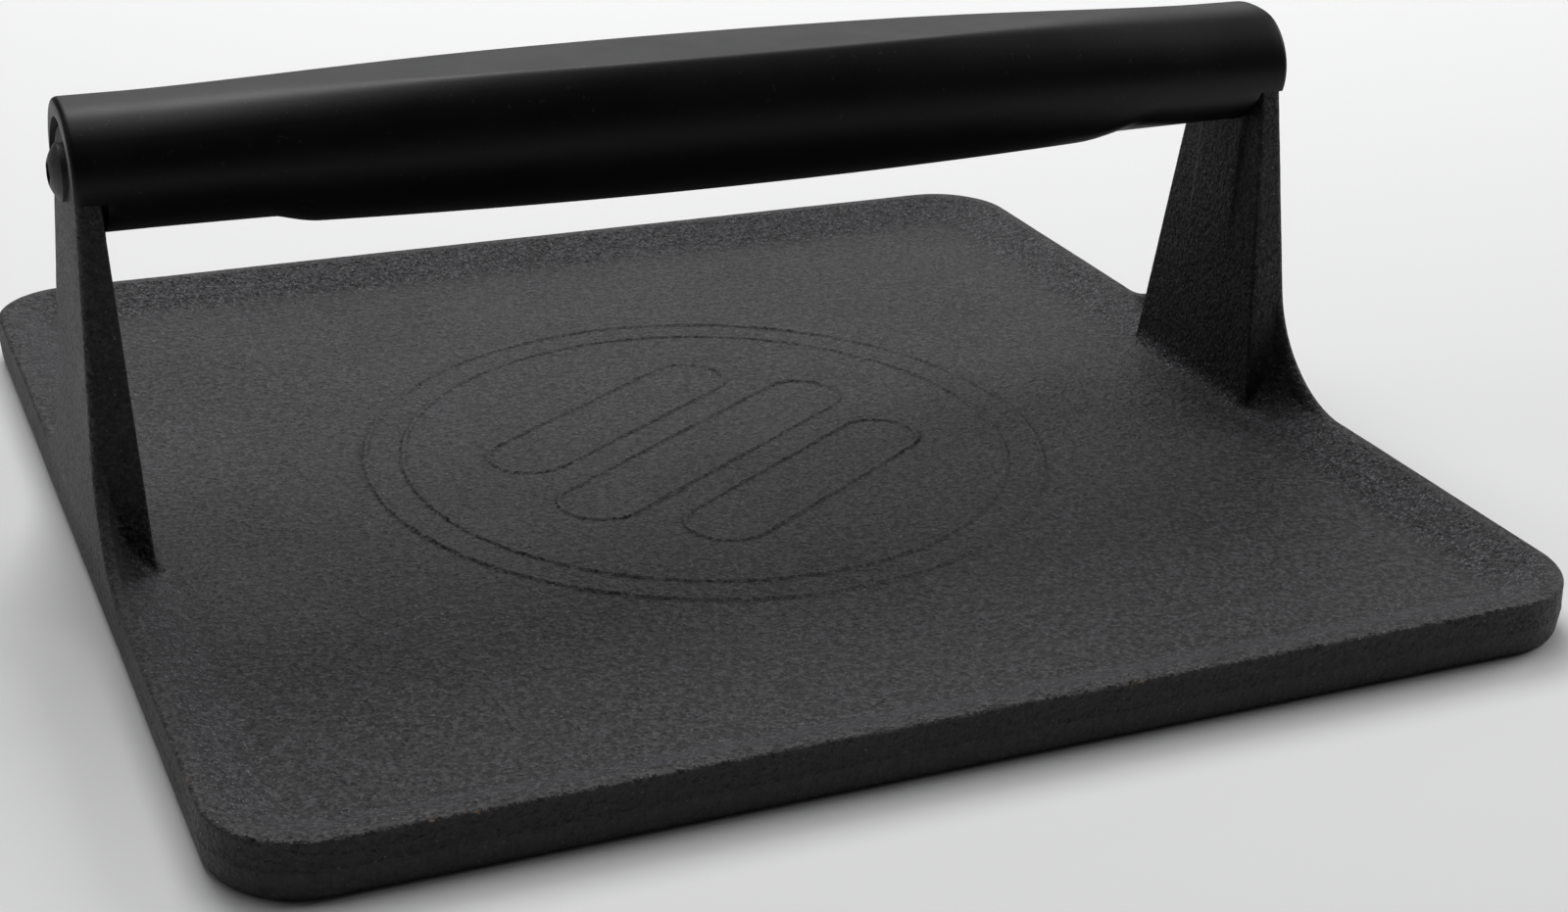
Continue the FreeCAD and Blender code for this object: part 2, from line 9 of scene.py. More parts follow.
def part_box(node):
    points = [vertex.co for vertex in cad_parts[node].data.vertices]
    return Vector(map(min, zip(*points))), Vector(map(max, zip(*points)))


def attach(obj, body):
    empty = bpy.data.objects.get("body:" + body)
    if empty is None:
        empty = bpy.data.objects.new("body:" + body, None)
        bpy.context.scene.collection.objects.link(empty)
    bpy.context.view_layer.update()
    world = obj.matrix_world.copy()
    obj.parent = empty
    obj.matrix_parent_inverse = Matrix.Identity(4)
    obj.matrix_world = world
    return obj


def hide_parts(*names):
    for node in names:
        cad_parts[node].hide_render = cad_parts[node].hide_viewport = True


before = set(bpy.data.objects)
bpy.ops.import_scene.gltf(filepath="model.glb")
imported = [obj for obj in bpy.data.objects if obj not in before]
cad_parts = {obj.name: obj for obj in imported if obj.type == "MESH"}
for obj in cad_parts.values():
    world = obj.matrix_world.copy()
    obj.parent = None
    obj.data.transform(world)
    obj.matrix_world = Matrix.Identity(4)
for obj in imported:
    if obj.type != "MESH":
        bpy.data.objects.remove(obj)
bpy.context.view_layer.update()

# The shapes are worked out in millimetres and turned into metres in add_piece.
# The press lies with its handle along X and its cooking face on z = 0.
MM = 0.001


def node_box(name):
    """Lowest and highest corner of a CAD node, in millimetres."""
    low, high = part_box(name)
    return np.array(low) / MM, np.array(high) / MM


PLATE_LOW, PLATE_HIGH = node_box("press_plate")
GRIP_LOW, GRIP_HIGH = node_box("handle_grip")
SCREW_LOW, SCREW_HIGH = node_box("right_handle_screw")

HALF_LENGTH = PLATE_HIGH[0]
HALF_DEPTH = PLATE_HIGH[1]
SCREW_AXIS_Z = (SCREW_LOW[2] + SCREW_HIGH[2]) / 2
HANDLE_AXIS_Z = 78.4
HANDLE_HALF_LENGTH = GRIP_HIGH[0]
HANDLE_MIDDLE_HALF_DEPTH = GRIP_HIGH[1]
FLAT_TOP_Z = GRIP_HIGH[2]
GRIP_LOWEST_Z = GRIP_LOW[2]

# Plate
PARTING_Z = 5.5
RIM_HEIGHT = 11.0
FLOOR_Z = 6.5
LOWER_DRAFT = 0.6
UPPER_DRAFT = 0.25
CREST_WIDTH = 3.0
RIM_SLOPE_WIDTH = 10.0
CREST_EDGE = UPPER_DRAFT + CREST_WIDTH
SLOPE_FOOT = CREST_EDGE + RIM_SLOPE_WIDTH
BASE_ROUND = 1.8
BROW_ROUND = 1.0
CREST_ROUND = 1.0
COVE_RADIUS = 8.0
CORNER_RADIUS = 17.5
SLOPE_CORNER_SHRINK = 0.6

# (inset, height) over the ridge that the mould's parting line leaves
PARTING_RIDGE = ((0.16, 5.05), (0.04, 5.3), (0.0, 5.5), (0.05, 5.7), (0.12, 5.95))

# Sand-cast unevenness: depth, feature size and noise seed
PLATE_BROAD = (0.05, 16.0, 1)
PLATE_FINE = (0.03, 4.5, 2)
PLATE_SIDE = (0.05, 1.6, 3)
UPRIGHT_BROAD = (0.035, 9.0, 4)
UPRIGHT_FINE = (0.035, 2.6, 5)

# Uprights
OUTER_LEAN = UPPER_DRAFT / (RIM_HEIGHT - PARTING_Z)
INNER_BASE_X = 116.2
INNER_LEAN = (118.9 - INNER_BASE_X) / (66.0 - FLOOR_Z)
SIDE_TAPER = 0.157
BASE_HALF_WIDTH = 22.7
TONGUE_RADIUS = 12.7
TONGUE_CENTRE_Z = 73.5
OUTER_EDGE = 1.3
INNER_EDGE = 0.6
BASE_FILLET = 3.0
SEAT_PAD_X = 118.2
SEAT_PAD_RISE = 0.7
ROOT_DEPTH = 2.0

# The flare's radius at shares of the way from the outer face to the inner one
FLARE_SHARES = (0.0, 0.12, 0.24, 0.46, 1.0)
FLARE_RADII = (25.0, 23.0, 14.0, 6.0, 1.5)
SIDE_SHARES = (0.0, 0.06, 0.12, 0.18, 0.24, 0.30, 0.37, 0.46, 0.6, 0.8, 1.0)

# Handle
HANDLE_END_HALF_DEPTH = 14.1
HANDLE_END_RISE = 12.5
HANDLE_MIDDLE_RISE = 16.2
HANDLE_END_DROP = 12.0
HANDLE_MIDDLE_DROP = 12.9
SWELL_SHALLOWING = 2.4
SWELL_SHALLOWING_X = 96.0
SWELL_HALF_LENGTH = 86.5
SWELL_SLANT = math.tan(math.radians(46.0))
SWELL_ROLL_OFF = 8.0
FLAT_BEND = 24000.0
HOOD_EDGE = 1.2
HOOD_LOWER_Z = 75.0
POCKET_SIDE_GAP = 0.3
POCKET_TOP_GAP = 1.0
POCKET_FACE_X = SEAT_PAD_X - 0.05
CUTTER_MARGIN = 5.0
INSERT_HOLE_RADIUS = 4.5
INSERT_HOLE_DEPTH = 14.0
MOULD_EDGE = 0.25

# Relief
RELIEF_HEIGHT = 0.46
RELIEF_HALF_WIDTH = 1.0
RELIEF_ROOT = 1.0
RELIEF_SEAM = 0.1
RING_RADII = (69.5, 62.0)
BAR_LENGTHS = (70.0, 86.0, 70.0)
BAR_WIDTH = 17.0
BAR_PITCH = 25.0
BAR_TURN = math.radians(32.0)

# Camera: metres, millimetres of lens, and degrees of yaw, pitch and roll
CAMERA_PLACE = (-0.17946, -0.43918, 0.21449)
CAMERA_LENS = 57.5
CAMERA_TURN = (24.18, -23.88, 1.85)

# Mesh steps
SEGMENTS_PER_SIDE = 150
CORNER_STEPS = 10
DISC_MARGIN = 8.0
RINGS_TO_DISC = 14

# Noise scales of the materials, in features per metre, and bump heights in metres
PATCH_SCALE = 26.0
BLOTCH_SCALE = 190.0
SAND_SCALE = 620.0
GRAIN_SCALE = 1300.0
FACET_SCALE = 2000.0
WEAR_SCALE = 420.0
CHIP_SCALE = 230.0
STREAK_SCALE = 1100.0
FACET_TILT = 0.5
SAND_BUMP = 0.0006
GRAIN_BUMP = 0.00036
STREAK_BUMP = 0.00012


# ---------------------------------------------------------------- mesh helpers

def add_piece(name, points, faces, merge=0.0):
    """A mesh object from points in millimetres. Points closer than merge become one."""
    mesh = bpy.data.meshes.new(name)
    mesh.from_pydata([tuple(p) for p in np.asarray(points) * MM], [], faces)
    mesh.validate()
    if merge:
        work = bmesh.new()
        work.from_mesh(mesh)
        bmesh.ops.remove_doubles(work, verts=work.verts, dist=merge * MM)
        bmesh.ops.dissolve_degenerate(work, edges=work.edges, dist=merge * MM)
        bmesh.ops.recalc_face_normals(work, faces=work.faces)
        work.to_mesh(mesh)
        work.free()
    piece = bpy.data.objects.new(name, mesh)
    bpy.context.scene.collection.objects.link(piece)
    return piece


def grid_faces(rows, columns, closed=False, start=0):
    """Quads between neighbouring points of a rows x columns grid."""
    faces = []
    last = columns if closed else columns - 1
    for r in range(rows - 1):
        for c in range(last):
            d = (c + 1) % columns
            a = start + r * columns
            b = a + columns
            faces.append((a + c, a + d, b + d, b + c))
    return faces


def prism(name, outline, first_x, last_x):
    """A closed solid from a (y, z) outline between two places along X."""
    count = len(outline)
    points = [(first_x, y, z) for y, z in outline]
    points += [(last_x, y, z) for y, z in outline]
    faces = [tuple(range(count)), tuple(reversed(range(count, 2 * count)))]
    for k in range(count):
        n = (k + 1) % count
        faces.append((k, k + count, n + count, n))
    return add_piece(name, points, faces, merge=0.0005)


def arc_points(centre, radius, first, last, count):
    """Points of an arc in a plane, angles in degrees."""
    angles = np.radians(np.linspace(first, last, count))
    return [(centre[0] + radius * math.cos(a), centre[1] + radius * math.sin(a)) for a in angles]


def waviness(points, size, seed):
    """Smooth noise from -1 to 1 at each point, with features about size wide."""
    shift = Vector((seed * 17.3, seed * 5.1, seed * 9.7))
    return np.array([noise.noise(Vector(p) / size + shift) for p in points])


def unevenness(points, layer):
    """Offsets from minus twice the layer's depth to nothing, one for each point."""
    depth, size, seed = layer
    return depth * (waviness(points, size, seed) - 1)


def smooth_step(value, low, high):
    """0 below low, 1 above high, and an S-shaped rise between."""
    t = np.clip((value - low) / (high - low), 0, 1)
    return t * t * (3 - 2 * t)


def mark_sharp(piece, degrees):
    """Smooth shading, with edges sharper than this kept crisp."""
    work = bmesh.new()
    work.from_mesh(piece.data)
    for edge in work.edges:
        edge.smooth = len(edge.link_faces) == 2 and edge.calc_face_angle(0) < math.radians(degrees)
    for face in work.faces:
        face.smooth = True
    work.to_mesh(piece.data)
    work.free()


def apply_modifiers(piece):
    """Replace the piece's mesh by what its modifiers make of it."""
    graph = bpy.context.evaluated_depsgraph_get()
    made = bpy.data.meshes.new_from_object(piece.evaluated_get(graph))
    piece.modifiers.clear()
    piece.data = made


def combine(piece, others, operation):
    """Boolean of one piece with others, which are then deleted."""
    for other in others:
        step = piece.modifiers.new("cut", "BOOLEAN")
        step.operation = operation
        step.solver = "EXACT"
        step.object = other
        apply_modifiers(piece)
        bpy.data.objects.remove(other)


# ---------------------------------------------------------------- the plate

def outer_face_profile():
    """(inset, height) points from under the base's edge to the top of the outer face."""
    under = LOWER_DRAFT + 6.0
    centre = (LOWER_DRAFT + BASE_ROUND - 0.2, BASE_ROUND)
    lower_slope = LOWER_DRAFT / PARTING_Z
    above_ridge = 0.06
    points = [(under, 0.0)]
    points += arc_points(centre, BASE_ROUND, 270, 184, 8)
    points += [(LOWER_DRAFT - lower_slope * z, z) for z in (2.6, 3.6, 4.5)]
    points += PARTING_RIDGE
    points += [(OUTER_LEAN * (z - PARTING_Z) + above_ridge, z) for z in (6.8, 7.8, 8.8, 9.6)]
    return points


def rim_profile():
    """(inset, height) points from the base's edge, up the outer face and down into the tray."""
    points = outer_face_profile()
    brow = (UPPER_DRAFT + BROW_ROUND, RIM_HEIGHT - BROW_ROUND)
    points += arc_points(brow, BROW_ROUND, 177, 90, 7)
    slope = math.degrees(math.atan((RIM_HEIGHT - FLOOR_Z) / RIM_SLOPE_WIDTH))
    reach = CREST_ROUND * math.tan(math.radians(slope / 2))
    crest = (CREST_EDGE - reach, RIM_HEIGHT - CREST_ROUND)
    points += arc_points(crest, CREST_ROUND, 90, 90 - slope, 5)
    cove_reach = COVE_RADIUS * math.tan(math.radians(slope / 2))
    start = CREST_EDGE + reach * math.cos(math.radians(slope))
    end = SLOPE_FOOT - cove_reach * math.cos(math.radians(slope))
    fall = math.tan(math.radians(slope))
    straight = np.linspace(start, end, 7)[1:-1]
    points += [(x, RIM_HEIGHT - (x - CREST_EDGE) * fall) for x in straight]
    cove = (SLOPE_FOOT + cove_reach, FLOOR_Z + COVE_RADIUS)
    points += arc_points(cove, COVE_RADIUS, 270 - slope, 270, 8)
    return points


RIM_POINTS = rim_profile()


def plate_height(inset):
    """Height of the plate's upper surface at a distance in from its outer edge."""
    on_top = [
        (i, z) for i, z in RIM_POINTS
        if z >= FLOOR_Z - 0.01 and i > UPPER_DRAFT + BROW_ROUND
    ]
    return float(np.interp(inset, [i for i, z in on_top], [z for i, z in on_top]))


def loop_radius(inset):
    """Corner radius of the plate's outline at an inset."""
    if inset <= CREST_EDGE:
        return CORNER_RADIUS - inset
    return CORNER_RADIUS - CREST_EDGE - SLOPE_CORNER_SHRINK * (inset - CREST_EDGE)


def outline_loop(inset, height):
    """Points round the plate at an inset, from the middle of one corner."""
    radius = loop_radius(inset)
    centre_x, centre_y = HALF_LENGTH - inset - radius, HALF_DEPTH - inset - radius
    straight_steps = SEGMENTS_PER_SIDE - 2 * CORNER_STEPS
    corners = ((1, 1), (-1, 1), (-1, -1), (1, -1))
    points = []
    for side, (sx, sy) in enumerate(corners):
        nx, ny = corners[(side + 1) % 4]
        centre = (sx * centre_x, sy * centre_y)
        following = (nx * centre_x, ny * centre_y)
        first = 45 + 90 * side
        leaving = arc_points(centre, radius, first, first + 45, CORNER_STEPS + 1)
        arriving = arc_points(following, radius, first + 45, first + 90, CORNER_STEPS + 1)
        a, b = np.array(leaving[-1]), np.array(arriving[0])
        straight = [tuple(a + (b - a) * t / straight_steps) for t in range(1, straight_steps)]
        points += leaving + straight + arriving[:-1]
    return np.array([(x, y, height) for x, y in points])


def disc_rows(radius):
    """A square grid bent into a disc, whose edge meets the loops point for point."""
    steps = SEGMENTS_PER_SIDE
    values = np.linspace(1, -1, steps + 1)
    points = []
    for v in values:
        for u in values:
            if abs(u) >= abs(v):
                r, angle = u, (math.pi / 4) * (v / u) if u else 0.0
            else:
                r, angle = v, math.pi / 2 - (math.pi / 4) * (u / v)
            points.append((radius * r * math.cos(angle), radius * r * math.sin(angle), FLOOR_Z))
    return np.array(points)


def outward_directions(points):
    """Directions along X or Y out of the nearest side, or straight out near a corner."""
    near = CORNER_RADIUS + 0.5
    gap_x = HALF_LENGTH - abs(points[:, 0])
    gap_y = HALF_DEPTH - abs(points[:, 1])
    square = np.where((gap_x < gap_y)[:, None], [1.0, 0.0], [0.0, 1.0]) * np.sign(points[:, :2])
    round_out = points[:, :2] / np.linalg.norm(points[:, :2] + 1e-9, axis=1)[:, None]
    in_corner = (gap_x < near) & (gap_y < near)
    return np.where(in_corner[:, None], round_out, square)


def cast_surface(points):
    """Sinks the plate's sides and top a little, as sand casting leaves them."""
    depth = unevenness(points, PLATE_BROAD) + unevenness(points, PLATE_FINE)
    side_depth = depth + unevenness(points, PLATE_SIDE)
    height = points[:, 2]
    inset = np.minimum(HALF_LENGTH - abs(points[:, 0]), HALF_DEPTH - abs(points[:, 1]))
    on_side = (inset < 2.0) & (height < RIM_HEIGHT - 0.6) & (height > 0.3)
    on_top = (height > FLOOR_Z - 0.2) & ~on_side
    direction = outward_directions(points)
    moved = points.copy()
    moved[on_side, :2] += direction[on_side] * side_depth[on_side, None]
    moved[on_top, 2] += depth[on_top]
    return moved


def rings_to_disc(foot, radius):
    """Loops that turn the tray's rounded square outline into the disc's circle."""
    count = len(foot)
    angles = np.radians(45 + 360 * np.arange(count) / count)
    circle = np.c_[radius * np.cos(angles), radius * np.sin(angles), np.full(count, FLOOR_Z)]
    return [foot + (circle - foot) * k / RINGS_TO_DISC for k in range(1, RINGS_TO_DISC)]


def grid_border(steps):
    """Indices round the edge of a steps x steps grid, from its first point."""
    last = steps - 1
    edge = [(0, k) for k in range(last)]
    edge += [(k, last) for k in range(last)]
    edge += [(last, k) for k in range(last, 0, -1)]
    edge += [(k, 0) for k in range(last, 0, -1)]
    return [row * steps + column for row, column in edge]


def make_plate():
    """The plate and its rim as one closed mesh."""
    count = 4 * SEGMENTS_PER_SIDE
    disc_radius = RING_RADII[0] + DISC_MARGIN
    loops = [outline_loop(inset, z) for inset, z in RIM_POINTS]
    loops += rings_to_disc(loops[-1], disc_radius)
    points = np.vstack(loops)
    faces = grid_faces(len(loops), count, closed=True)
    faces.append(tuple(reversed(range(count))))
    start = len(points)
    steps = SEGMENTS_PER_SIDE + 1
    ring = [start + index for index in grid_border(steps)]
    last = start - count
    for k in range(count):
        n = (k + 1) % count
        faces.append((last + k, last + n, ring[n], ring[k]))
    faces += [tuple(reversed(f)) for f in grid_faces(steps, steps, start=start)]
    points = cast_surface(np.vstack([points, disc_rows(disc_radius)]))
    return add_piece("press_casting", points, faces, merge=0.001)


# ---------------------------------------------------------------- the uprights

def side_line(z):
    """Half width of an upright at a height, without its flare."""
    return BASE_HALF_WIDTH - (z - RIM_HEIGHT) * SIDE_TAPER


def tilted(angle):
    """Unit vector in the (y, z) plane."""
    return math.cos(angle), math.sin(angle)


def upright_curve(radius, foot_z):
    """(y, z, normal y, normal z) up half an upright: flare, tapered side, round top."""
    lean = math.atan(SIDE_TAPER)
    centre_y = side_line(foot_z) + radius * (1 - math.sin(lean)) / math.cos(lean)
    curve = []
    for angle in np.linspace(math.pi / 2, lean, 16):
        ny, nz = tilted(angle)
        curve.append((centre_y - radius * ny, foot_z + radius * (1 - nz), ny, nz))
    arch = []
    for angle in np.linspace(lean, math.pi / 2, 16):
        ny, nz = tilted(angle)
        arch.append((TONGUE_RADIUS * ny, TONGUE_CENTRE_Z + TONGUE_RADIUS * nz, ny, nz))
    bottom, top = np.array(curve[-1]), np.array(arch[0])
    for t in np.linspace(0, 1, 48)[1:] ** 1.35:
        curve.append(tuple(bottom * (1 - t) + top * t))
    return np.array(curve + arch[1:])


def outer_x(z):
    """Where an upright's outer face is at a height."""
    return HALF_LENGTH - (z - PARTING_Z) * OUTER_LEAN


def inner_x(z):
    """Where an upright's inner face is at a height."""
    return INNER_BASE_X + (z - FLOOR_Z) * INNER_LEAN


def seat_pad(y, z):
    """How far the pad on the inner face stands off it."""
    face = SEAT_PAD_X - SEAT_PAD_RISE * (1 - smooth_step(z, 36.0, 70.0))
    stand = max(0.0, inner_x(z) - face)
    return stand * (1 - smooth_step(abs(y), 7.4, 8.6))


def base_fillet(part, z):
    """How far in and how far down the fillet at an inner face's base moves each point."""
    inset = HALF_LENGTH - INNER_BASE_X
    base = plate_height(inset)
    size = BASE_FILLET * (1 - smooth_step(part, 0.9, 1.0))
    if size < 0.01:
        return np.zeros_like(z), np.zeros_like(z)
    rise = np.clip(z - base, 0, size)
    inwards = size - np.sqrt(np.maximum(0, size ** 2 - (size - rise) ** 2))
    drop = base - plate_height(inset + size) + 0.1
    return inwards, drop * inwards / size


def outer_columns(outer):
    """The outer face, from its middle, and its rounded edge."""
    core = outer[:, :2] - outer[:, 2:] * OUTER_EDGE
    columns = []
    for part in np.linspace(0, 1, 14):
        y, z = core[:, 0] * part, core[:, 1]
        columns.append(np.c_[outer_x(z), y, z])
    for turn in np.radians((18, 36, 54, 72)):
        yz = core + outer[:, 2:] * OUTER_EDGE * math.sin(turn)
        x = outer_x(core[:, 1]) - OUTER_EDGE * (1 - math.cos(turn))
        columns.append(np.c_[x, yz])
    return columns


def side_columns():
    """The side, whose flare tightens from the outer face to the inner one."""
    columns = []
    for share in SIDE_SHARES:
        radius = float(np.interp(share, FLARE_SHARES, FLARE_RADII))
        foot_x = (HALF_LENGTH - UPPER_DRAFT - OUTER_EDGE) * (1 - share)
        foot_x += (INNER_BASE_X + INNER_EDGE) * share
        curve = upright_curve(radius, plate_height(HALF_LENGTH - foot_x))
        z = curve[:, 1]
        x = (outer_x(z) - OUTER_EDGE) * (1 - share) + (inner_x(z) + INNER_EDGE) * share
        columns.append(np.c_[x, curve[:, :2]])
    return columns


def inner_columns(inner):
    """The inner face's rounded edge, and the face to its middle, with its pad and fillet."""
    core = inner[:, :2] - inner[:, 2:] * INNER_EDGE
    columns = []
    for turn in np.radians((30, 60)):
        yz = core + inner[:, 2:] * INNER_EDGE * math.cos(turn)
        x = inner_x(core[:, 1]) + INNER_EDGE * (1 - math.sin(turn))
        columns.append(np.c_[x, yz])
    for part in np.linspace(1, 0, 30):
        y, z = core[:, 0] * part, core[:, 1]
        pad = np.array([seat_pad(a, b) for a, b in zip(y, z)])
        inwards, drop = base_fillet(part, z)
        columns.append(np.c_[inner_x(z) - pad - inwards, y, z - drop])
    return columns


def upright_columns():
    """Columns of points round the +Y half of the right upright, each from foot to top."""
    outer = upright_curve(FLARE_RADII[0], RIM_HEIGHT)
    inner = upright_curve(FLARE_RADII[-1], plate_height(HALF_LENGTH - INNER_BASE_X))
    return outer_columns(outer) + side_columns() + inner_columns(inner)


def roughen(piece):
    """Sinks an upright's surface a little, as sand casting leaves it."""
    points = np.array([tuple(v.co / MM) for v in piece.data.vertices])
    normals = np.array([tuple(v.normal) for v in piece.data.vertices])
    depth = unevenness(points, UPRIGHT_BROAD) + unevenness(points, UPRIGHT_FINE)
    sunk = (points + normals * depth[:, None]) * MM
    piece.data.vertices.foreach_set("co", sunk.ravel())
    piece.data.update()


def make_upright(side):
    """One upright as a closed mesh whose root is buried in the rim."""
    half = np.stack(upright_columns())
    root = half[:, :1, :].copy()
    root[:, 0, 2] = FLOOR_Z - ROOT_DEPTH
    root[:, 0, 0] = np.clip(root[:, 0, 0], INNER_BASE_X - 2.0, HALF_LENGTH - 1.0)
    half = np.concatenate([root, half], axis=1)
    other = half[::-1] * np.array([1, -1, 1])
    around = np.concatenate([half, other[1:-1]], axis=0)
    count, rows = around.shape[:2]
    faces = grid_faces(count, rows)
    for r in range(rows - 1):
        a, b = (count - 1) * rows + r, r
        faces.append((a, a + 1, b + 1, b))
    faces.append(tuple(k * rows for k in range(count)))
    points = around.reshape(-1, 3) * np.array([side, 1, 1])
    upright = add_piece("upright", points, faces, merge=0.02)
    roughen(upright)
    return upright


# ---------------------------------------------------------------- the relief

def bead_profile():
    """(across, up) points of a low rounded line, closed below the floor."""
    width = RELIEF_HALF_WIDTH
    across = np.linspace(-1, 1, 9)
    top = [(width * a, RELIEF_HEIGHT * math.cos(math.pi * a / 2) ** 2) for a in across]
    top = [(a, u - RELIEF_SEAM) if abs(a) > width * 0.99 else (a, u) for a, u in top]
    return top + [(width, -RELIEF_ROOT), (-width, -RELIEF_ROOT)]


def lay_on_floor(points):
    """Wears a raised line unevenly and sinks it with the cast floor under it."""
    worn = 0.8 + 0.35 * waviness(points, 11.0, 6)
    raised = points[:, 2] > FLOOR_Z
    points[raised, 2] = FLOOR_Z + (points[raised, 2] - FLOOR_Z) * worn[raised]
    flat = points.copy()
    flat[:, 2] = FLOOR_Z
    points[:, 2] += cast_surface(flat)[:, 2] - FLOOR_Z


def make_bead(path):
    """A low raised line along a closed path on the tray floor."""
    path = np.array(path)
    count = len(path)
    tangent = np.roll(path, -1, axis=0) - np.roll(path, 1, axis=0)
    tangent /= np.linalg.norm(tangent, axis=1)[:, None]
    sideways = np.c_[-tangent[:, 1], tangent[:, 0]]
    profile = bead_profile()
    points = []
    for k in range(count):
        for across, up in profile:
            xy = path[k] + sideways[k] * across
            points.append((xy[0], xy[1], FLOOR_Z + up))
    points = np.array(points)
    lay_on_floor(points)
    size = len(profile)
    faces = []
    for k in range(count):
        n = (k + 1) % count
        for p in range(size):
            q = (p + 1) % size
            faces.append((k * size + p, n * size + p, n * size + q, k * size + q))
    return add_piece("relief", points, faces)


def circle_path(radius):
    """A ring's middle line."""
    angles = np.linspace(0, 2 * math.pi, 361)[:-1]
    return [(radius * math.cos(a), radius * math.sin(a)) for a in angles]


def bar_path(length, offset):
    """A long outline with round ends, turned with the other bars."""
    half, radius = (length - BAR_WIDTH) / 2, BAR_WIDTH / 2
    path = arc_points((half, offset), radius, -90, 90, 25)
    path += [(x, offset + radius) for x in np.linspace(half, -half, 30)[1:-1]]
    path += arc_points((-half, offset), radius, 90, 270, 25)
    path += [(x, offset - radius) for x in np.linspace(-half, half, 30)[1:-1]]
    c, s = math.cos(BAR_TURN), math.sin(BAR_TURN)
    return [(x * c - y * s, x * s + y * c) for x, y in path]


def make_casting():
    """Plate, uprights and relief joined into the one iron casting."""
    plate = make_plate()
    parts = [make_upright(1), make_upright(-1)]
    parts += [make_bead(circle_path(radius)) for radius in RING_RADII]
    for index, length in enumerate(BAR_LENGTHS):
        parts.append(make_bead(bar_path(length, (index - 1) * BAR_PITCH)))
    combine(plate, parts, "UNION")
    mark_sharp(plate, 50)
    return plate


# ---------------------------------------------------------------- the handle

def fullness(x):
    """How much of the handle's middle fullness is left at x."""
    t = abs(x) / (0.9 * HANDLE_HALF_LENGTH)
    return max(0.0, 1 - t * t) ** 1.5


def soft_min(a, b, width):
    """The smaller of two values, rounded where they cross."""
    gap = np.clip(0.5 + 0.5 * (b - a) / width, 0, 1)
    return b * (1 - gap) + a * gap - width * gap * (1 - gap)


def grip_top(x, full, up):
    """Height over the handle's axis on its upper half, with the thumb flat."""
    rise = HANDLE_END_RISE + (HANDLE_MIDDLE_RISE - HANDLE_END_RISE) * full
    flat = FLAT_TOP_Z - HANDLE_AXIS_Z - x * x / FLAT_BEND
    softness = 0.5 + 1.6 * smooth_step(abs(x), 40.0, 105.0)
    return soft_min(rise * up, flat, softness)


def grip_bottom(x, full, depth):
    """Height under the handle's axis on its lower half, with the palm swell."""
    drop = HANDLE_END_DROP + (HANDLE_MIDDLE_DROP - HANDLE_END_DROP) * full
    shallowing = SWELL_SHALLOWING * (x / SWELL_SHALLOWING_X) ** 2
    swell_drop = HANDLE_AXIS_Z - GRIP_LOWEST_Z - shallowing
    extra = max(0.0, swell_drop - drop)
    end = SWELL_HALF_LENGTH + drop * (1 - depth) * SWELL_SLANT
    blend = np.clip((end - abs(x)) / SWELL_ROLL_OFF, 0, 1)
    amount = blend ** 1.2 * (2.2 - 1.2 * blend)
    return -depth * (drop + extra * amount)


def grip_section(x, angle):
    """(y, z) of the handle's surface at a station and an angle from +Y."""
    full = fullness(x)
    half_depth = HANDLE_END_HALF_DEPTH
    half_depth += (HANDLE_MIDDLE_HALF_DEPTH - HANDLE_END_HALF_DEPTH) * full
    up = math.sin(angle)
    z = grip_top(x, full, up) if up >= 0 else grip_bottom(x, full, -up)
    return half_depth * math.cos(angle), HANDLE_AXIS_Z + z


def grip_angles():
    """Angles round the section, closer together at the thumb flat's edges."""
    angles = list(np.linspace(0, 36, 8)[:-1])
    angles += list(np.linspace(36, 66, 21)[:-1])
    angles += list(np.linspace(66, 90, 6)[:-1])
    angles += [180 - a for a in reversed(angles[1:])]
    angles.insert(len(angles) // 2 + 1, 90.0)
    angles = sorted(set(round(a, 4) for a in angles))
    angles += list(np.linspace(180, 360, 45)[:-1])
    return np.radians(angles)


def grip_stations():
    """(x, inset) rows along the handle, with rounded ends and close rows at the swell's ends."""
    end = HANDLE_HALF_LENGTH
    rows = []
    for turn in np.radians(np.linspace(0, 90, 6)):
        rows.append((end - HOOD_EDGE * (1 - math.cos(turn)), HOOD_EDGE * (1 - math.sin(turn))))
    for first, last, count in ((end - HOOD_EDGE, 104.0, 10), (104.0, 70.0, 50), (70.0, 0.0, 30)):
        rows += [(x, 0.0) for x in np.linspace(first, last, count)[1:]]
    return rows + [(-x, inset) for x, inset in reversed(rows[:-1])]


def make_pocket(side):
    """The space in a hood that takes the top of its upright."""
    lean = math.atan(SIDE_TAPER)
    radius = TONGUE_RADIUS + POCKET_SIDE_GAP
    rounding = []
    for angle in np.linspace(lean, math.pi - lean, 41):
        lift = (POCKET_TOP_GAP - POCKET_SIDE_GAP) * math.sin(angle) ** 2
        z = TONGUE_CENTRE_Z + (radius + lift) * math.sin(angle)
        rounding.append((radius * math.cos(angle), z))
    wide = HANDLE_MIDDLE_HALF_DEPTH + CUTTER_MARGIN
    deep = GRIP_LOWEST_Z - CUTTER_MARGIN
    shoulder = rounding[0][0] + (HOOD_LOWER_Z - rounding[0][1]) * -SIDE_TAPER
    outline = [(shoulder, HOOD_LOWER_Z)] + rounding + [(-shoulder, HOOD_LOWER_Z)]
    outline += [(-wide, HOOD_LOWER_Z), (-wide, deep), (wide, deep), (wide, HOOD_LOWER_Z)]
    outer = HANDLE_HALF_LENGTH + CUTTER_MARGIN
    return prism("pocket", outline, side * POCKET_FACE_X, side * outer)


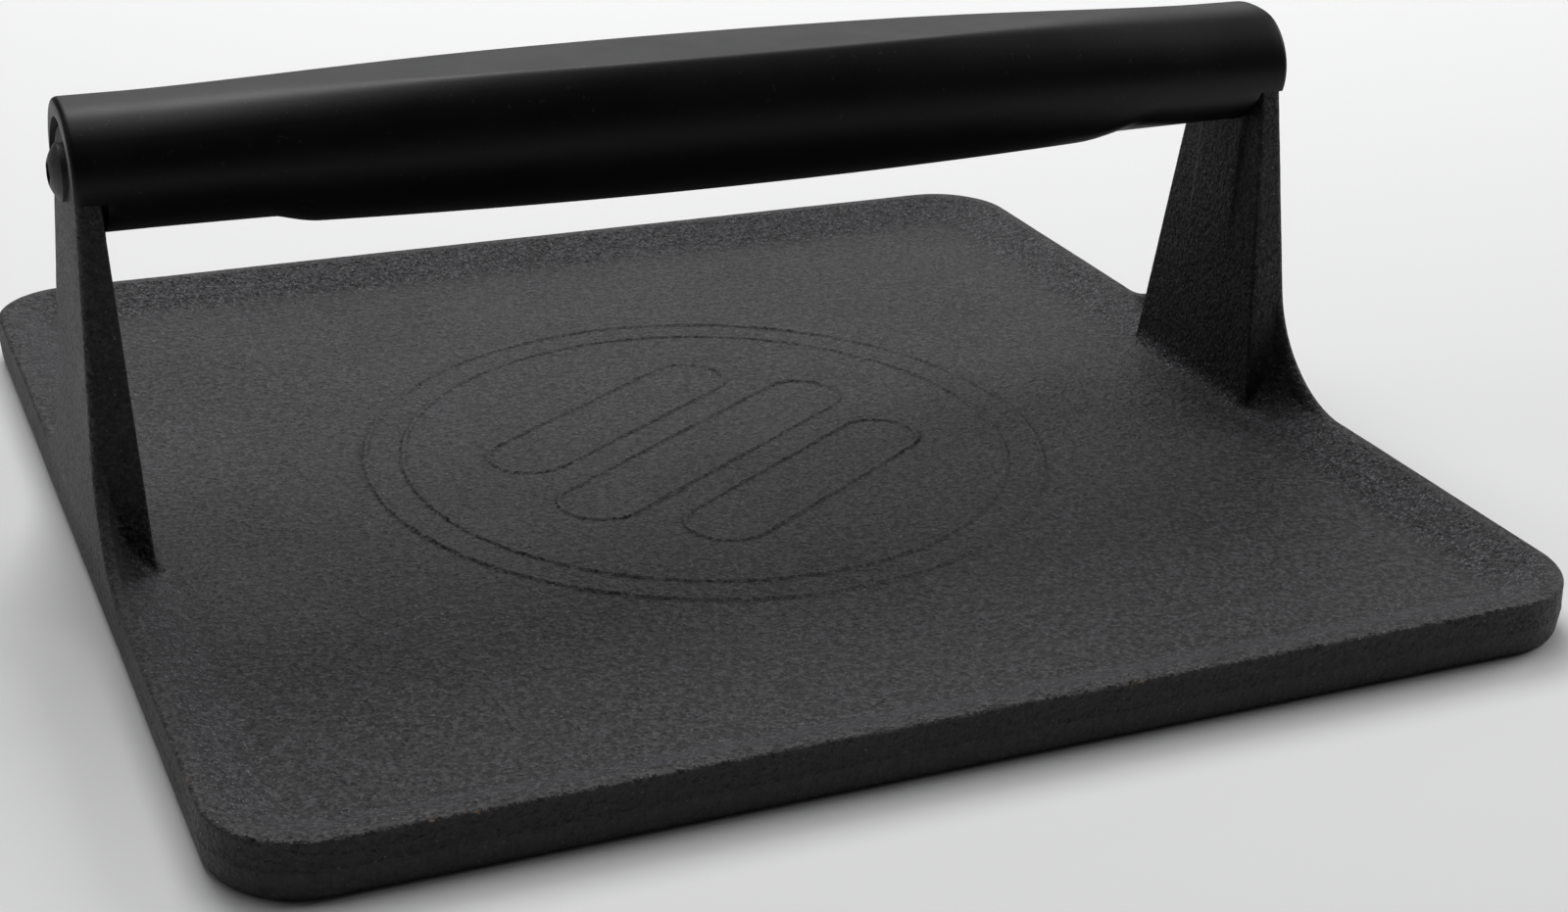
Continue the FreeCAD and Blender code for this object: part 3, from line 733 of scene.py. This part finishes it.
def make_insert_hole(side):
    """The hole for a threaded insert."""
    outline = arc_points((0.0, SCREW_AXIS_Z), INSERT_HOLE_RADIUS, 0, 360, 49)[:-1]
    mouth, end = POCKET_FACE_X + 1.0, POCKET_FACE_X - INSERT_HOLE_DEPTH
    return prism("insert_hole", outline, side * mouth, side * end)


def grip_points(stations, angles):
    """Points of the handle's skin, station by station."""
    axis = np.array([0.0, HANDLE_AXIS_Z])
    points = []
    for x, inset in stations:
        for angle in angles:
            y, z = grip_section(x, angle)
            if inset:
                away = np.array([y, z]) - axis
                y, z = axis + away * (1 - inset / np.linalg.norm(away))
            points.append((x, y, z))
    return points


def make_handle():
    """The moulded handle with its thumb flat, palm swell and end hoods."""
    angles = grip_angles()
    stations = grip_stations()
    points = grip_points(stations, angles)
    faces = grid_faces(len(stations), len(angles), closed=True)
    last = (len(stations) - 1) * len(angles)
    faces.append(tuple(range(len(angles))))
    faces.append(tuple(reversed(range(last, last + len(angles)))))
    handle = add_piece("handle_moulding", points, faces, merge=0.0005)
    cutters = [make_pocket(1), make_pocket(-1), make_insert_hole(1), make_insert_hole(-1)]
    combine(handle, cutters, "DIFFERENCE")
    soften = handle.modifiers.new("soften", "BEVEL")
    soften.width = MOULD_EDGE * MM
    soften.segments = 2
    soften.limit_method = "ANGLE"
    soften.angle_limit = math.radians(55)
    apply_modifiers(handle)
    mark_sharp(handle, 40)
    return handle


# ---------------------------------------------------------------- materials

class Nodes:
    """A material's node tree, with short ways to add and link nodes."""

    def __init__(self, name):
        self.material = bpy.data.materials.new(name)
        self.material.use_nodes = True
        self.tree = self.material.node_tree
        self.shader = self.tree.nodes["Principled BSDF"]
        self.place = self.tree.nodes.new("ShaderNodeTexCoord").outputs["Object"]

    def add(self, kind, inputs=None, **settings):
        """A node with its inputs filled from values or sockets."""
        node = self.tree.nodes.new("ShaderNode" + kind)
        for key, value in settings.items():
            setattr(node, key, value)
        for key, value in (inputs or {}).items():
            self.put(node.inputs[key], value)
        return node

    def put(self, socket, value):
        """Fill an input from another node's socket or a plain value."""
        if isinstance(value, bpy.types.NodeSocket):
            self.tree.links.new(value, socket)
        else:
            socket.default_value = value

    def noise(self, scale, detail=3.0, roughness=0.5, place=None):
        """Noise around 0.5, in object space unless another place is given."""
        node = self.add("TexNoise", {
            "Vector": place or self.place,
            "Scale": scale,
            "Detail": detail,
            "Roughness": roughness,
        })
        return node.outputs["Fac"]

    def span(self, value, low, high, to_low=0.0, to_high=1.0):
        """A straight ramp between two values, which may run downwards."""
        node = self.add("MapRange", {
            "Value": value,
            "From Min": low,
            "From Max": high,
            "To Min": to_low,
            "To Max": to_high,
        })
        return node.outputs["Result"]

    def math(self, operation, a, b=0.0):
        """One Math node."""
        return self.add("Math", {0: a, 1: b}, operation=operation).outputs[0]

    def ramp_mm(self, value, low, high):
        """0 to 1 as a distance in metres goes between two distances in millimetres."""
        return self.span(value, low * MM, high * MM)

    def both(self, a, b):
        """Where two masks overlap, or one mask at part strength."""
        return self.math("MULTIPLY", a, b)

    def mix(self, share, a, b):
        """One colour turned towards another by a share from 0 to 1."""
        node = self.add("Mix", data_type="RGBA")
        self.put(node.inputs[0], share)
        self.put(node.inputs[6], a)
        self.put(node.inputs[7], b)
        return node.outputs[2]

    def tint(self, colour, mask, strength, paint):
        """A colour turned towards another where a mask is on."""
        return self.mix(self.both(mask, strength), colour, paint)

    def facets(self, scale, tilt):
        """Random cells, and the surface normal tilted a little differently in each."""
        cells = self.add("TexVoronoi", {"Vector": self.place, "Scale": scale})
        centred = self.add(
            "VectorMath", {0: cells.outputs["Color"], 1: (0.5, 0.5, 0.5)}, operation="SUBTRACT"
        )
        tilted = self.add("VectorMath", {0: centred.outputs[0], "Scale": tilt}, operation="SCALE")
        flat = self.add("NewGeometry").outputs["Normal"]
        total = self.add("VectorMath", {0: flat, 1: tilted.outputs[0]}, operation="ADD")
        unit = self.add("VectorMath", {0: total.outputs[0]}, operation="NORMALIZE")
        return cells, unit.outputs[0]

    def bump(self, height, distance, strength=1.0, before=None):
        """A normal bent by a height, on top of an earlier normal if there is one."""
        inputs = {"Height": height, "Distance": distance, "Strength": strength}
        if before is not None:
            inputs["Normal"] = before
        return self.add("Bump", inputs).outputs["Normal"]


def shade(level, red=0.0, blue=0.0):
    """A near-grey, a little redder or bluer."""
    return (level * (1 + red), level, level * (1 + blue), 1.0)


IRON_DARK = shade(0.025, 0.06, 0.10)
IRON_LIGHT = shade(0.033, 0.09, 0.09)
IRON_BLOTCH = shade(0.040, 0.07, 0.09)
# Painted shade at the slope's foot, just inside the crest and down the slope, and a painted
# highlight along the crest
FOOT_SHADE = shade(0.012, 0.03, 0.05)
LIP_SHADE = shade(0.012, 0.0, 0.10)
SLOPE_SHADE = shade(0.015, 0.0, 0.14)
CREST_HIGHLIGHT = shade(0.050, 0.09, 0.03)
SAND_TONE_AND_PIT_SHADE = shade(0.008, 0.08, 0.10)
SAND_TONE_AND_RAISED_LIGHT = shade(0.062, 0.07, 0.09)
GRAIN_TONE_AND_PIT_SHADE = shade(0.005, 0.08, 0.10)
GRAIN_TONE_AND_RAISED_LIGHT = shade(0.074, 0.06, 0.09)
# Painted glint colour
GLINT = shade(0.24, -0.02, 0.22)
HOLLOW_SHADE = shade(0.007, 0.03, 0.05)
WORN_EDGE = shade(0.075, 0.10, -0.10)
CHIPPED_EDGE = (0.19, 0.14, 0.095, 1.0)
UPPER_SIDE_SHADE = shade(0.016, 0.06, 0.08)
LOWER_SIDE_REFLECTION = shade(0.052, 0.06, 0.06)
SIDE_STREAK = shade(0.022, 0.03, 0.02)
MOULDING_DARK = shade(0.0018, 0.0, 0.35)
MOULDING_LIGHT = shade(0.0028, 0.0, 0.35)
MOULDING_SPECK = shade(0.03)
STEEL_DARK = shade(0.014)
STEEL_LIGHT = shade(0.04)
BRASS_DARK = (0.60, 0.40, 0.16, 1)
BRASS_LIGHT = (0.72, 0.50, 0.22, 1)


def rim_inset(n):
    """Distance in from the plate's outer edge, in metres, with round corners."""
    parts = n.add("SeparateXYZ", {0: n.place})
    over = []
    for axis, half in ((0, HALF_LENGTH), (1, HALF_DEPTH)):
        distance = n.math("ABSOLUTE", parts.outputs[axis])
        past = n.math("SUBTRACT", distance, (half - CORNER_RADIUS) * MM)
        over.append(n.math("MAXIMUM", past))
    corner = n.add("CombineXYZ", {0: over[0], 1: over[1]})
    reach = n.add("VectorMath", {0: corner.outputs[0]}, operation="LENGTH").outputs["Value"]
    return n.math("SUBTRACT", CORNER_RADIUS * MM, reach)


def rim_zones(n, inset, height, facing_up):
    """Masks for the parts of the rim, by distance in from the plate's edge."""
    on_rim = n.ramp_mm(height, RIM_HEIGHT + 1.5, RIM_HEIGHT + 0.5)
    slope = n.both(
        n.ramp_mm(inset, CREST_EDGE - 0.4, CREST_EDGE + 0.8),
        n.ramp_mm(inset, SLOPE_FOOT + 1.6, SLOPE_FOOT - 1.4),
    )
    lip = n.both(
        n.ramp_mm(inset, CREST_EDGE - 0.3, CREST_EDGE + 0.5),
        n.ramp_mm(inset, CREST_EDGE + 3.2, CREST_EDGE + 1.2),
    )
    foot = n.both(
        n.ramp_mm(inset, SLOPE_FOOT - 1.5, SLOPE_FOOT + 0.6),
        n.ramp_mm(inset, SLOPE_FOOT + 4.0, SLOPE_FOOT + 0.6),
    )
    crest = n.both(
        n.ramp_mm(inset, CREST_EDGE + 0.2, CREST_EDGE - 0.5),
        n.span(facing_up, 0.7, 0.9),
    )
    brow = n.both(
        n.ramp_mm(inset, 1.5, 0.6),
        n.ramp_mm(height, RIM_HEIGHT - 1.4, RIM_HEIGHT - 0.7),
    )
    return {
        "slope": n.both(slope, on_rim),
        "lip": n.both(lip, on_rim),
        "foot": foot,
        "crest": crest,
        "brow": n.both(brow, on_rim),
    }


def zone_colour(n, zones, patches):
    """The iron's broad colour: uneven seasoning, with painted shade at the slope's foot, just
    inside the crest and down the slope, and a painted highlight along the crest.
    """
    blotches = n.noise(BLOTCH_SCALE, 3.0, 0.6)
    colour = n.mix(n.span(patches, 0.35, 0.65), IRON_DARK, IRON_LIGHT)
    colour = n.mix(n.span(blotches, 0.50, 0.72), colour, IRON_BLOTCH)
    # painted shade: the cove at the slope's foot is darkened
    colour = n.tint(colour, zones["foot"], 0.6, FOOT_SHADE)
    # painted shade in a band just inside the crest
    colour = n.tint(colour, zones["lip"], 0.6, LIP_SHADE)
    # painted shade down the rim's slope, with a bluish tint
    colour = n.tint(colour, zones["slope"], 0.5, SLOPE_SHADE)
    # painted highlight along the crest, a little warm
    return n.tint(colour, zones["crest"], 0.5, CREST_HIGHLIGHT)


def sand_colour(n, colour, facing_up, sand, grain):
    """Dark pits and pale grains, weaker on upright faces: grain tone from the same noise as the
    bumps, with painted shade in the pits and painted light on the raised grains.
    """
    strength = n.span(facing_up, 0.6, 0.95, 0.4, 1.0)
    # dark tints are grain tone and painted shade in the pits; pale tints are grain tone and
    # painted light on the raised grains
    colour = n.tint(colour, strength, n.span(sand, 0.49, 0.38), SAND_TONE_AND_PIT_SHADE)
    colour = n.tint(colour, strength, n.span(sand, 0.53, 0.66), SAND_TONE_AND_RAISED_LIGHT)
    colour = n.tint(colour, strength, n.span(grain, 0.48, 0.35), GRAIN_TONE_AND_PIT_SHADE)
    return n.tint(colour, strength, n.span(grain, 0.53, 0.66), GRAIN_TONE_AND_RAISED_LIGHT)


def glint_mask(n, cells, slope):
    """Where painted glints go: bright spots in a few random cells, and in many more on the rim's
    slope.
    """
    chance = n.add("SeparateColor", {0: cells.outputs["Color"]}).outputs[0]
    rarity = n.span(slope, 0.0, 1.0, 0.975, 0.55)
    bright = n.span(chance, rarity, 1.0, 0.1, 1.0)
    bright = n.both(bright, n.math("GREATER_THAN", chance, rarity))
    return n.both(bright, n.span(cells.outputs["Distance"], 0.5, 0.2))


def worn_colour(n, colour, pointiness, brow):
    """Painted shade in the hollows, and worn and chipped edges."""
    hollow = n.span(pointiness, 0.492, 0.465)
    edge = n.math("MAXIMUM", n.span(pointiness, 0.51, 0.56), brow)
    worn = n.both(edge, n.span(n.noise(WEAR_SCALE, 4.0, 0.65), 0.44, 0.66))
    chipped = n.both(edge, n.span(n.noise(CHIP_SCALE, 4.0, 0.7), 0.635, 0.67))
    # painted shade: concave places darkened
    colour = n.tint(colour, hollow, 0.7, HOLLOW_SHADE)
    colour = n.tint(colour, worn, 0.6, WORN_EDGE)
    return n.tint(colour, chipped, 0.8, CHIPPED_EDGE)


def side_colour(n, colour, side, height, streaks):
    """The plate's side: painted shade above the parting line, a paler painted reflection below,
    with drawn streaks.
    """
    upper = n.both(side, n.ramp_mm(height, PARTING_Z - 0.6, PARTING_Z + 0.8))
    lower = n.both(side, n.ramp_mm(height, PARTING_Z + 0.4, PARTING_Z - 0.6))
    dark = n.both(side, n.span(streaks, 0.52, 0.38))
    # painted shade above the parting line and a painted reflection below it
    colour = n.tint(colour, upper, 0.45, UPPER_SIDE_SHADE)
    colour = n.tint(colour, lower, 0.4, LOWER_SIDE_REFLECTION)
    return n.tint(colour, dark, 0.5, SIDE_STREAK)


def plate_side(n, height, facing_up):
    """Mask for the plate's upright side."""
    on_side = n.math("LESS_THAN", n.math("ABSOLUTE", facing_up), 0.3)
    return n.both(on_side, n.math("LESS_THAN", height, RIM_HEIGHT * MM))


def iron_material():
    """Seasoned cast iron: near-black, with sand grain, pits, painted glints, painted shade and
    highlights on the rim and side, and worn edges.
    """
    n = Nodes("seasoned_iron")
    patches = n.noise(PATCH_SCALE, 4.0, 0.6)
    sand = n.noise(SAND_SCALE, 3.0, 0.6)
    grain = n.noise(GRAIN_SCALE, 2.5, 0.6)
    drawn = n.add("VectorMath", {0: n.place, 1: (1.0, 1.0, 0.07)}, operation="MULTIPLY")
    streaks = n.noise(STREAK_SCALE, 3.0, 0.6, place=drawn.outputs[0])
    cells, faceted = n.facets(FACET_SCALE, FACET_TILT)
    geometry = n.add("NewGeometry")
    facing_up = n.add("SeparateXYZ", {0: geometry.outputs["True Normal"]}).outputs[2]
    height = n.add("SeparateXYZ", {0: n.place}).outputs[2]
    zones = rim_zones(n, rim_inset(n), height, facing_up)
    side = plate_side(n, height, facing_up)
    glint = glint_mask(n, cells, zones["slope"])

    colour = zone_colour(n, zones, patches)
    colour = sand_colour(n, colour, facing_up, sand, grain)
    # painted glints: bright spots put into the base colour
    colour = n.tint(colour, glint, 0.7, GLINT)
    colour = worn_colour(n, colour, geometry.outputs["Pointiness"], zones["brow"])
    colour = side_colour(n, colour, side, height, streaks)
    n.put(n.shader.inputs["Base Color"], colour)

    grain_rough = n.span(grain, 0.35, 0.65, 0.30, 0.36)
    patch_rough = n.span(patches, 0.35, 0.65, 0.20, 0.28)
    rough = n.math("ADD", grain_rough, patch_rough)
    rough = n.math("SUBTRACT", rough, n.both(glint, 0.2))
    n.put(n.shader.inputs["Roughness"], rough)
    n.shader.inputs["Specular IOR Level"].default_value = 0.3

    normal = n.bump(sand, SAND_BUMP, before=faceted)
    normal = n.bump(grain, GRAIN_BUMP, before=normal)
    normal = n.bump(n.both(streaks, side), STREAK_BUMP, before=normal)
    n.put(n.shader.inputs["Normal"], normal)
    return n.material


def handle_material():
    """Satin black moulding with a very fine, even texture and a few pale specks."""
    n = Nodes("satin_moulding")
    broad = n.noise(55.0, 3.0, 0.6)
    fine = n.noise(2400.0, 2.0, 0.5)
    specks = n.span(n.noise(800.0, 2.0, 0.5), 0.68, 0.74)
    colour = n.mix(n.span(broad, 0.3, 0.7), MOULDING_DARK, MOULDING_LIGHT)
    colour = n.tint(colour, specks, 0.5, MOULDING_SPECK)
    n.put(n.shader.inputs["Base Color"], colour)
    n.put(n.shader.inputs["Roughness"], n.span(broad, 0.3, 0.7, 0.40, 0.47))
    n.shader.inputs["Specular IOR Level"].default_value = 0.22
    n.put(n.shader.inputs["Normal"], n.bump(fine, 0.00003, 0.7))
    return n.material


def screw_material():
    """Blackened steel with a fine grain."""
    n = Nodes("blackened_steel")
    grain = n.noise(1500.0, 3.0, 0.6)
    colour = n.mix(n.span(grain, 0.35, 0.65), STEEL_DARK, STEEL_LIGHT)
    n.put(n.shader.inputs["Base Color"], colour)
    n.put(n.shader.inputs["Roughness"], n.span(grain, 0.35, 0.65, 0.42, 0.6))
    n.put(n.shader.inputs["Normal"], n.bump(grain, 0.00008))
    return n.material


def brass_material():
    """Turned brass with faint tool marks."""
    n = Nodes("turned_brass")
    grain = n.noise(900.0, 2.0, 0.5)
    colour = n.mix(n.span(grain, 0.3, 0.7), BRASS_DARK, BRASS_LIGHT)
    n.put(n.shader.inputs["Base Color"], colour)
    n.shader.inputs["Metallic"].default_value = 1.0
    n.put(n.shader.inputs["Roughness"], n.span(grain, 0.3, 0.7, 0.28, 0.42))
    n.put(n.shader.inputs["Normal"], n.bump(grain, 0.00003))
    return n.material


def floor_material():
    """Plain pale floor."""
    n = Nodes("pale_floor")
    n.shader.inputs["Base Color"].default_value = (0.92, 0.92, 0.92, 1)
    n.shader.inputs["Roughness"].default_value = 0.7
    return n.material


def dress(piece, material):
    """Give a new piece its material and its place in the record."""
    piece.data.materials.clear()
    piece.data.materials.append(material)
    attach(piece, "root")


def repaint(node, material):
    """Give a CAD node a new material."""
    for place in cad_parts[node].material_slots:
        place.material = material


# ---------------------------------------------------------------- the studio

def add_area(name, location, target, size, power):
    """A soft rectangular lamp that faces a point. Metres and watts."""
    lamp = bpy.data.lights.new(name, "AREA")
    lamp.shape = "RECTANGLE"
    lamp.size, lamp.size_y = size
    lamp.energy = power
    holder = bpy.data.objects.new(name, lamp)
    holder.location = location
    facing = Vector(target) - Vector(location)
    holder.rotation_euler = facing.to_track_quat("-Z", "Y").to_euler()
    bpy.context.scene.collection.objects.link(holder)


def add_floor():
    """A wide pale floor under the press."""
    far = 3000.0
    points = [(-far, -far, 0), (far, -far, 0), (far, far, 0), (-far, far, 0)]
    floor = add_piece("studio_floor", np.array(points, float), [(0, 1, 2, 3)])
    floor.data.materials.append(floor_material())


def add_surround():
    """A dim surround, seen by the camera as a plain pale backdrop."""
    world = bpy.data.worlds.new("surround")
    world.use_nodes = True
    tree = world.node_tree
    surround = tree.nodes["Background"]
    surround.inputs["Color"].default_value = (0.92, 0.95, 1.0, 1)
    surround.inputs["Strength"].default_value = 0.03
    backdrop = tree.nodes.new("ShaderNodeBackground")
    backdrop.inputs["Color"].default_value = (0.62, 0.62, 0.62, 1)
    chosen = tree.nodes.new("ShaderNodeMixShader")
    seen = tree.nodes.new("ShaderNodeLightPath").outputs["Is Camera Ray"]
    tree.links.new(seen, chosen.inputs[0])
    tree.links.new(surround.outputs[0], chosen.inputs[1])
    tree.links.new(backdrop.outputs[0], chosen.inputs[2])
    tree.links.new(chosen.outputs[0], tree.nodes["World Output"].inputs["Surface"])
    bpy.context.scene.world = world


def add_lamps():
    """Soft lamps overhead, behind and to both sides."""
    add_area("overhead", (0.0, 0.3, 1.3), (0.0, 0.1, 0.0), (1.0, 0.8), 6.2)
    add_area("back_high", (0.1, 1.0, 1.2), (0.0, 0.0, 0.0), (1.0, 0.6), 10.0)
    add_area("back_low", (0.5, 1.55, 0.55), (0.0, 0.0, 0.05), (1.4, 0.6), 2.2)
    add_area("right", (1.5, 0.1, 0.8), (0.0, 0.0, 0.03), (1.0, 0.8), 9.6)
    add_area("left", (-1.3, 0.5, 0.9), (0.0, 0.0, 0.0), (1.0, 0.8), 1.6)
    add_area("back_right", (1.1, 1.1, 0.8), (0.0, 0.0, 0.0), (1.0, 0.8), 1.0)


def add_studio():
    """Pale floor and backdrop with soft light, shown without a film-like view transform."""
    bpy.context.scene.view_settings.view_transform = "Standard"
    add_floor()
    add_surround()
    add_lamps()


def add_camera():
    """Camera in front, to the left and above, with a slight roll."""
    data = bpy.data.cameras.new("camera")
    data.sensor_width = 36.0
    data.lens = CAMERA_LENS
    data.clip_start = 0.01
    camera = bpy.data.objects.new("camera", data)
    yaw, pitch, roll = (math.radians(a) for a in CAMERA_TURN)
    forward = Vector((
        math.sin(yaw) * math.cos(pitch), math.cos(yaw) * math.cos(pitch), math.sin(pitch)
    ))
    level = Vector((math.cos(yaw), -math.sin(yaw), 0.0))
    above = level.cross(forward)
    right = level * math.cos(roll) + above * math.sin(roll)
    up = above * math.cos(roll) - level * math.sin(roll)
    turn = Matrix((right, up, -forward)).transposed()
    camera.matrix_world = Matrix.Translation(CAMERA_PLACE) @ turn.to_4x4()
    bpy.context.scene.collection.objects.link(camera)
    bpy.context.scene.camera = camera


# ---------------------------------------------------------------- the press

iron = iron_material()
casting = make_casting()
dress(casting, iron)
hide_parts("press_plate")

handle = make_handle()
dress(handle, handle_material())
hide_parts("handle_grip")

blackened = screw_material()
brass = brass_material()
for name in ("left", "right"):
    repaint(name + "_handle_screw", blackened)
    repaint(name + "_threaded_insert", brass)

add_studio()
add_camera()

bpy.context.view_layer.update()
